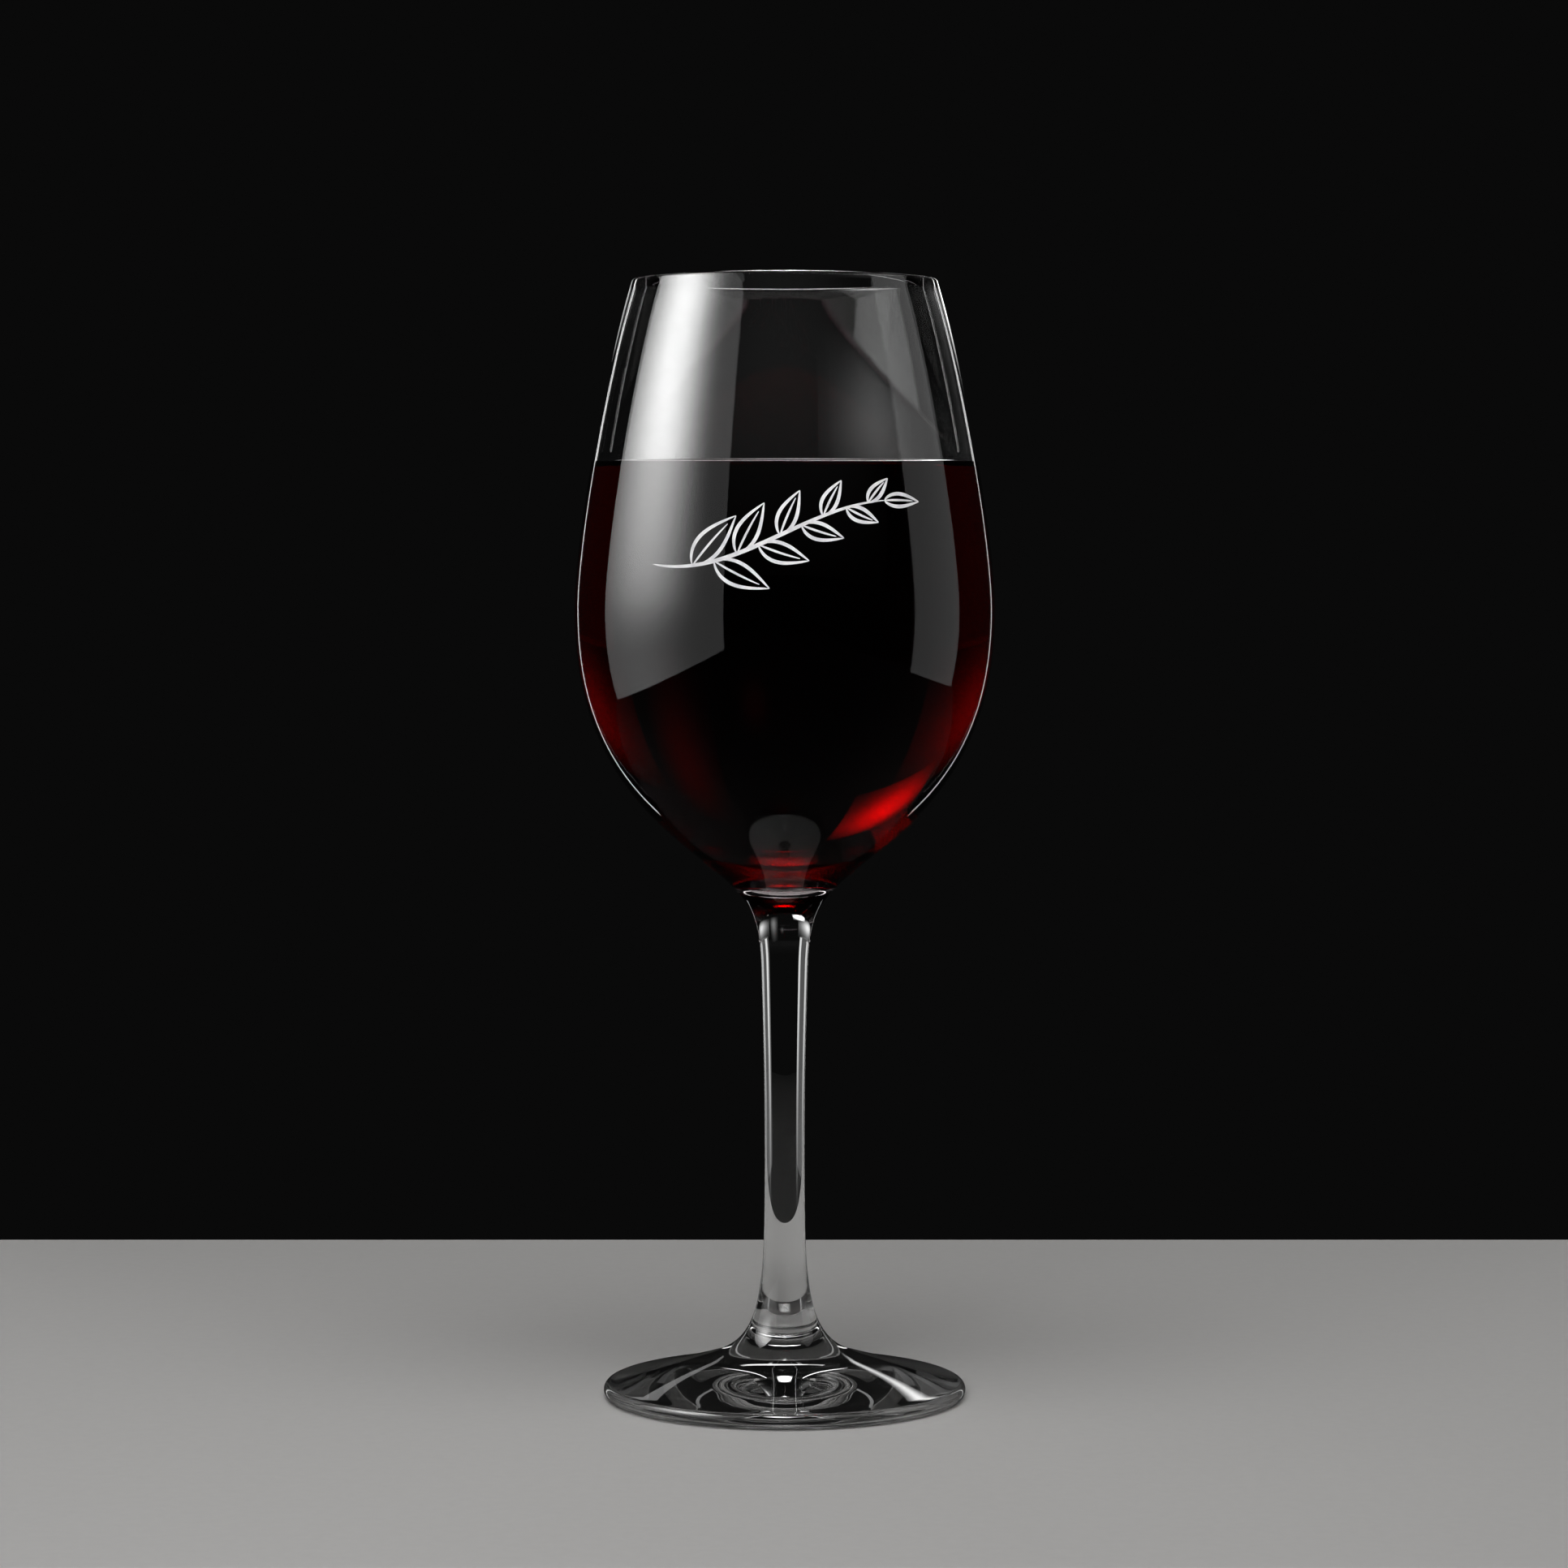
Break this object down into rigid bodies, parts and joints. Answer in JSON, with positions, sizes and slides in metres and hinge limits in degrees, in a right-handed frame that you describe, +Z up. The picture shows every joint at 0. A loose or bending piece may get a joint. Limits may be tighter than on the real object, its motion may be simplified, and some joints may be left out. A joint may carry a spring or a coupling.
{
  "type": "glass of red wine",
  "caption": "Stemmed wine glass with a tulip bowl, a slim stem and a round foot, holding red wine.",
  "frame": {"origin": "centre of the foot's base, on the surface that the glass stands on", "axes": "+Z up along the stem; the glass is a solid of revolution, and its decorated front faces -Y"},
  "size_m": [0.0826, 0.0826, 0.22],
  "materials": {
    "clear_glass": "clear, fire-polished",
    "red_wine": "deep burgundy liquid"
  },
  "bodies": {
    "root": {"wine_glass": "clear_glass", "red_wine": "red_wine"}
  },
  "joints": []
}
